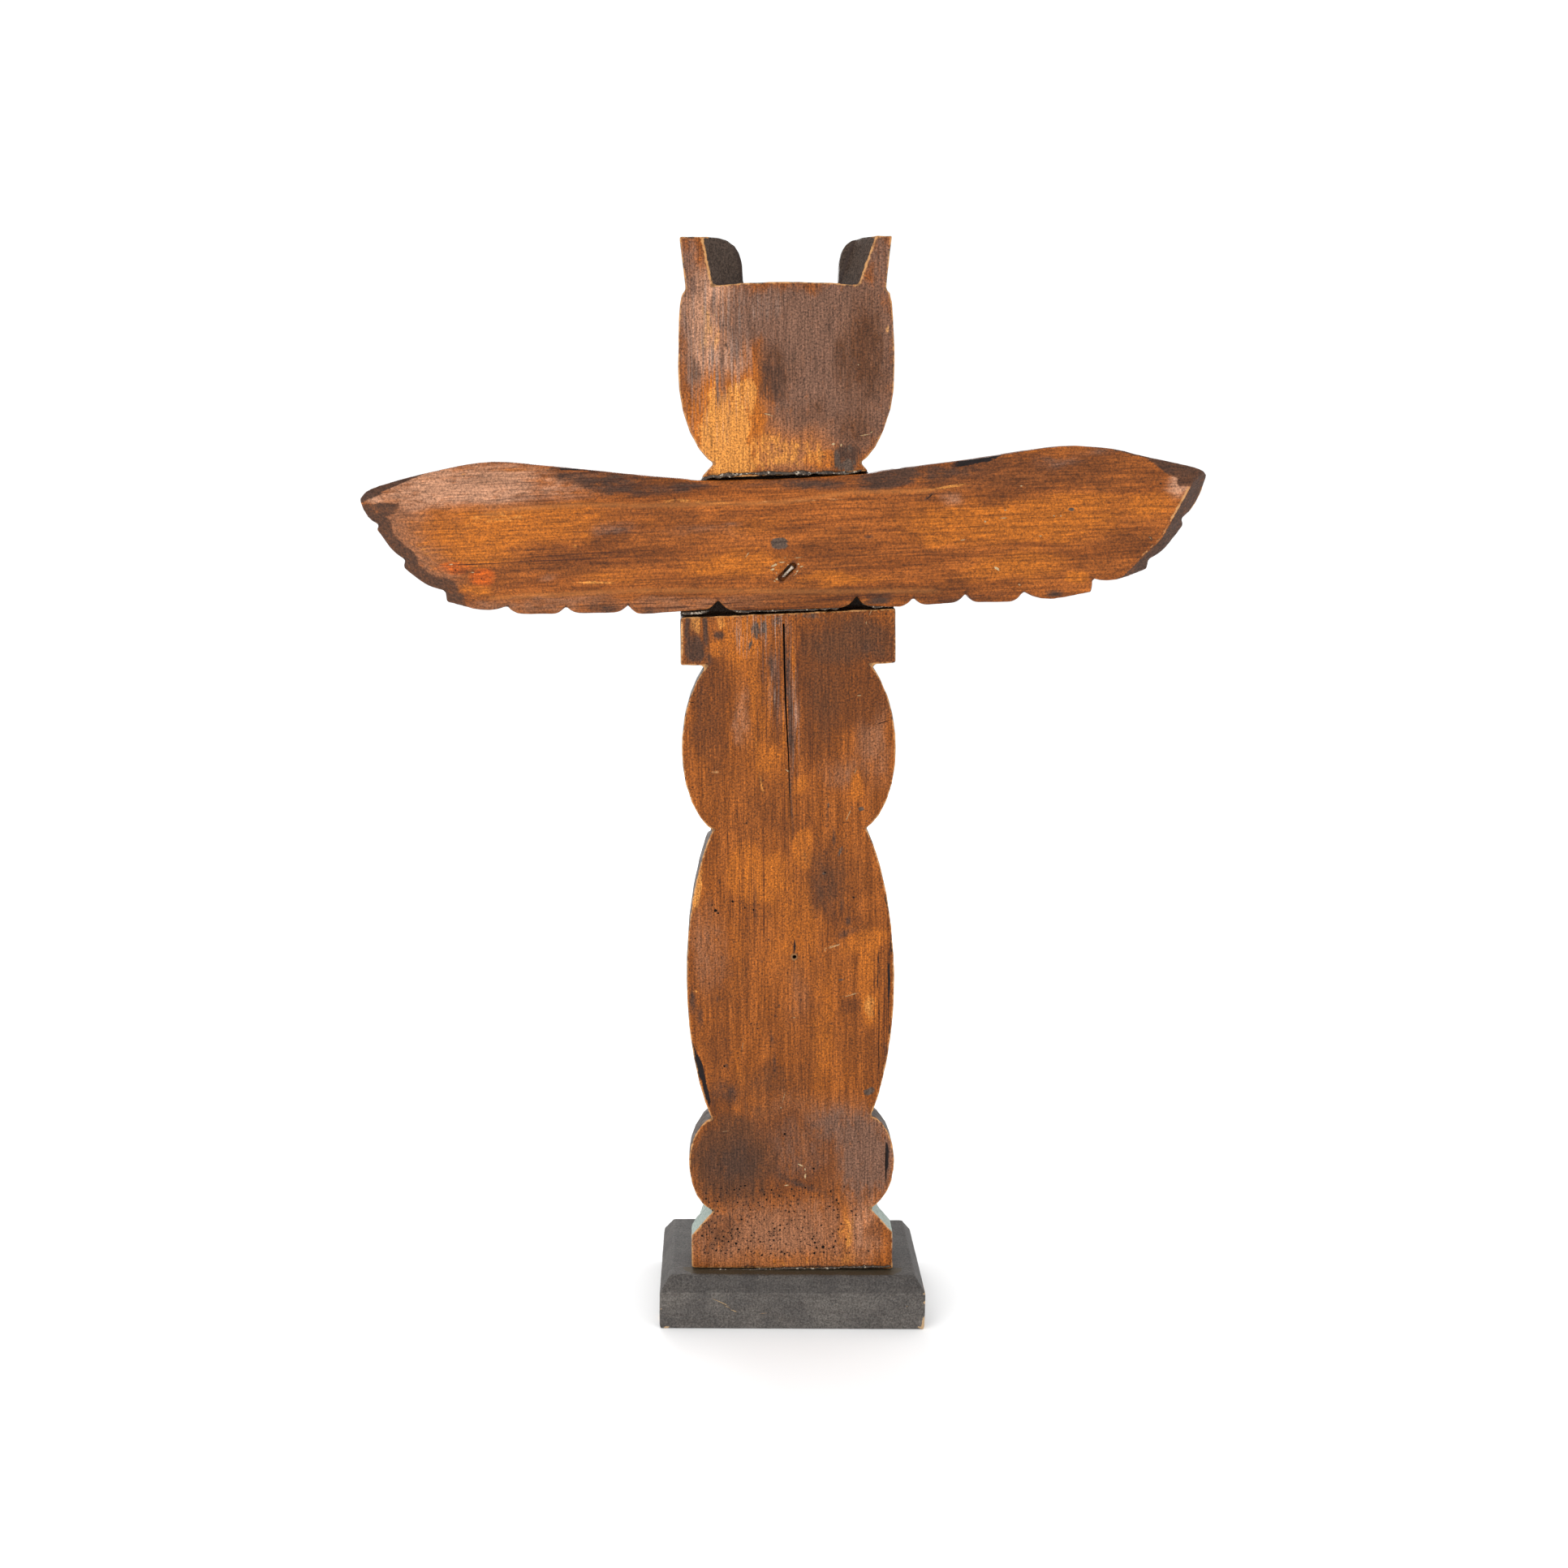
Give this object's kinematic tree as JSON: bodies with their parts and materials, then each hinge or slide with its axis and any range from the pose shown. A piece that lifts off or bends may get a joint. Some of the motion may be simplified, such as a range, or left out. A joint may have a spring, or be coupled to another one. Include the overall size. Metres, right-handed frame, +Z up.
{
  "type": "carved wooden totem pole",
  "caption": "Tabletop carved totem pole: an eared, winged bird on a seated bear, flat-backed, with one wing board let into the back, on a black chamfered plinth.",
  "frame": {"origin": "centre of the plinth's flat underside", "axes": "+Z up, the carved front faces -Y and the flat back +Y, +X to the right seen from the front"},
  "size_m": [0.4886, 0.102, 0.6514],
  "materials": {
    "stained_wood": "orange-brown stain under old varnish, darker and scuffed in places",
    "black_painted_wood": "matt charcoal-black paint, scratched, worn to bare wood at the corners",
    "nail_steel": "dull, oxidised"
  },
  "bodies": {
    "root": {"pole": "stained_wood", "wing_board": "stained_wood", "plinth": "black_painted_wood", "wing_nail": "nail_steel"}
  },
  "joints": []
}
